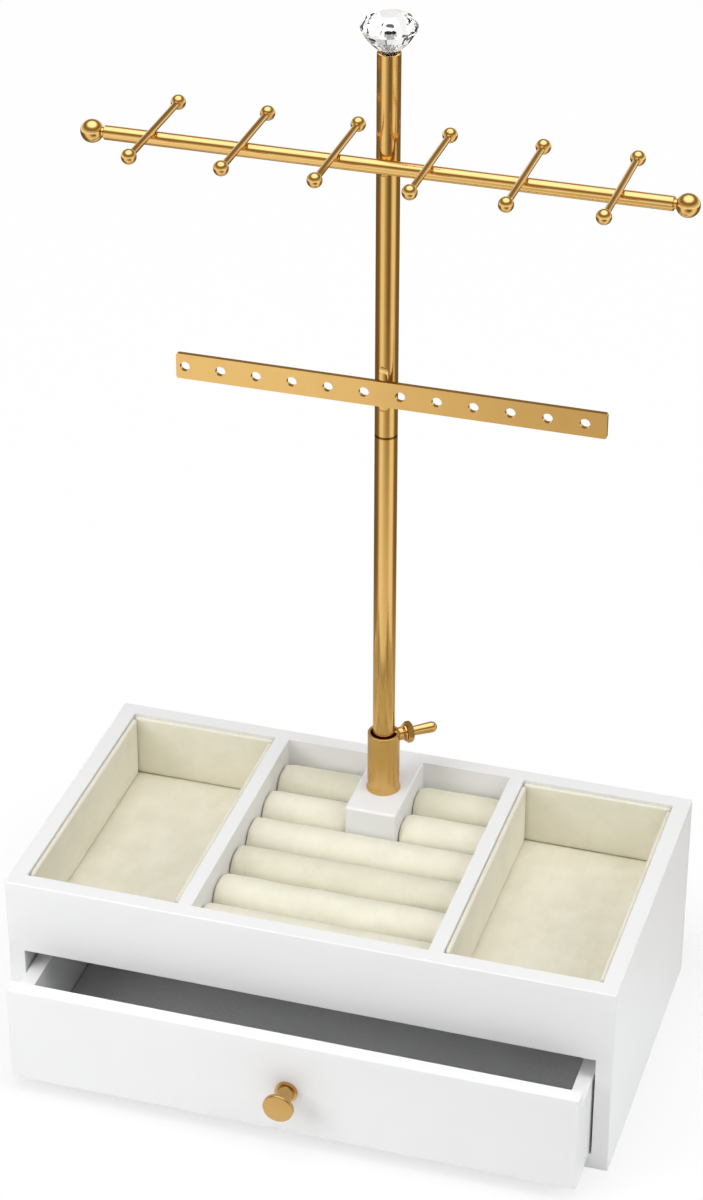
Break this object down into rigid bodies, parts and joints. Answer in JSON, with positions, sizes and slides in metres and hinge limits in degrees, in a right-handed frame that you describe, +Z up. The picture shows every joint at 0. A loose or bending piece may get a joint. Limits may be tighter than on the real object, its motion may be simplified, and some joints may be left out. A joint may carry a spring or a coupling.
{
  "type": "jewelry stand with drawer",
  "caption": "Painted wooden box with lined trays, ring rolls and a drawer, carrying a gold pole with a hook bar, an earring bar and a crystal finial.",
  "frame": {"origin": "centre of the box's underside", "axes": "+Z up along the pole, +X to the right, -Y to the front, where the drawer opens"},
  "size_m": [0.33, 0.2282, 0.5619],
  "materials": {
    "white_paint": "satin white paint on fibreboard",
    "cream_velvet": "short-pile velvet",
    "grey_felt": "felt",
    "gold_metal": "polished gold plating",
    "clear_crystal": "cut and polished",
    "plain_steel": "plain zinc-plated steel",
    "beech_dowel": "bare beech"
  },
  "bodies": {
    "box": {"side_board_left": "white_paint", "side_board_right": "white_paint", "front_rail": "white_paint", "back_board": "white_paint", "bottom_board": "white_paint", "tray_deck": "white_paint", "divider_left": "white_paint", "divider_right": "white_paint", "pole_block": "white_paint", "case_dowels": "beech_dowel", "block_screws": "plain_steel", "tray_floor_pad_left": "cream_velvet", "tray_floor_pad_right": "cream_velvet", "tray_wall_lining_left": "cream_velvet", "tray_wall_lining_right": "cream_velvet", "ring_roll_1_left": "cream_velvet", "ring_roll_1_right": "cream_velvet", "ring_roll_2_left": "cream_velvet", "ring_roll_2_right": "cream_velvet", "ring_roll_3": "cream_velvet", "ring_roll_4": "cream_velvet", "ring_roll_5": "cream_velvet", "ring_roll_6": "cream_velvet", "pole_sleeve": "gold_metal"},
    "clamp": {"clamp_screw": "gold_metal", "clamp_nut": "gold_metal"},
    "lower_mast": {"lower_pole": "gold_metal", "lower_pole_socket": "plain_steel"},
    "upper_mast": {"upper_pole": "gold_metal", "hook_bar": "gold_metal", "hook_bar_ball_left": "gold_metal", "hook_bar_ball_right": "gold_metal", "hook_peg_1": "gold_metal", "hook_peg_2": "gold_metal", "hook_peg_3": "gold_metal", "hook_peg_4": "gold_metal", "hook_peg_5": "gold_metal", "hook_peg_6": "gold_metal", "hook_bar_weld": "gold_metal", "earring_bar": "gold_metal", "earring_bar_welds": "gold_metal", "upper_pole_stud": "plain_steel", "crystal_finial": "clear_crystal", "crystal_stud": "plain_steel", "crystal_plug": "plain_steel"},
    "drawer": {"drawer_front": "white_paint", "drawer_side_left": "white_paint", "drawer_side_right": "white_paint", "drawer_back": "white_paint", "drawer_floor": "white_paint", "drawer_dowels": "beech_dowel", "drawer_felt": "grey_felt", "drawer_knob": "gold_metal", "knob_screw": "plain_steel"}
  },
  "joints": [
    {"name": "drawer_slide", "type": "slide", "parent": "box", "child": "drawer", "axis": [0, -1, 0], "range_m": [-0.0297, 0.08]},
    {"name": "pole_height", "type": "slide", "parent": "box", "child": "lower_mast", "axis": [0, 0, 1], "range_m": [0, 0.015]},
    {"name": "pole_swivel", "type": "hinge", "parent": "lower_mast", "child": "upper_mast", "pos_m": [0, 0.053, 0.3337], "axis": [0, 0, 1], "continuous": true},
    {"name": "clamp_turn", "type": "hinge", "parent": "box", "child": "clamp", "pos_m": [0, 0.053, 0.1466], "axis": [0.788, 0.6157, 0], "range_deg": [0, 540]}
  ]
}
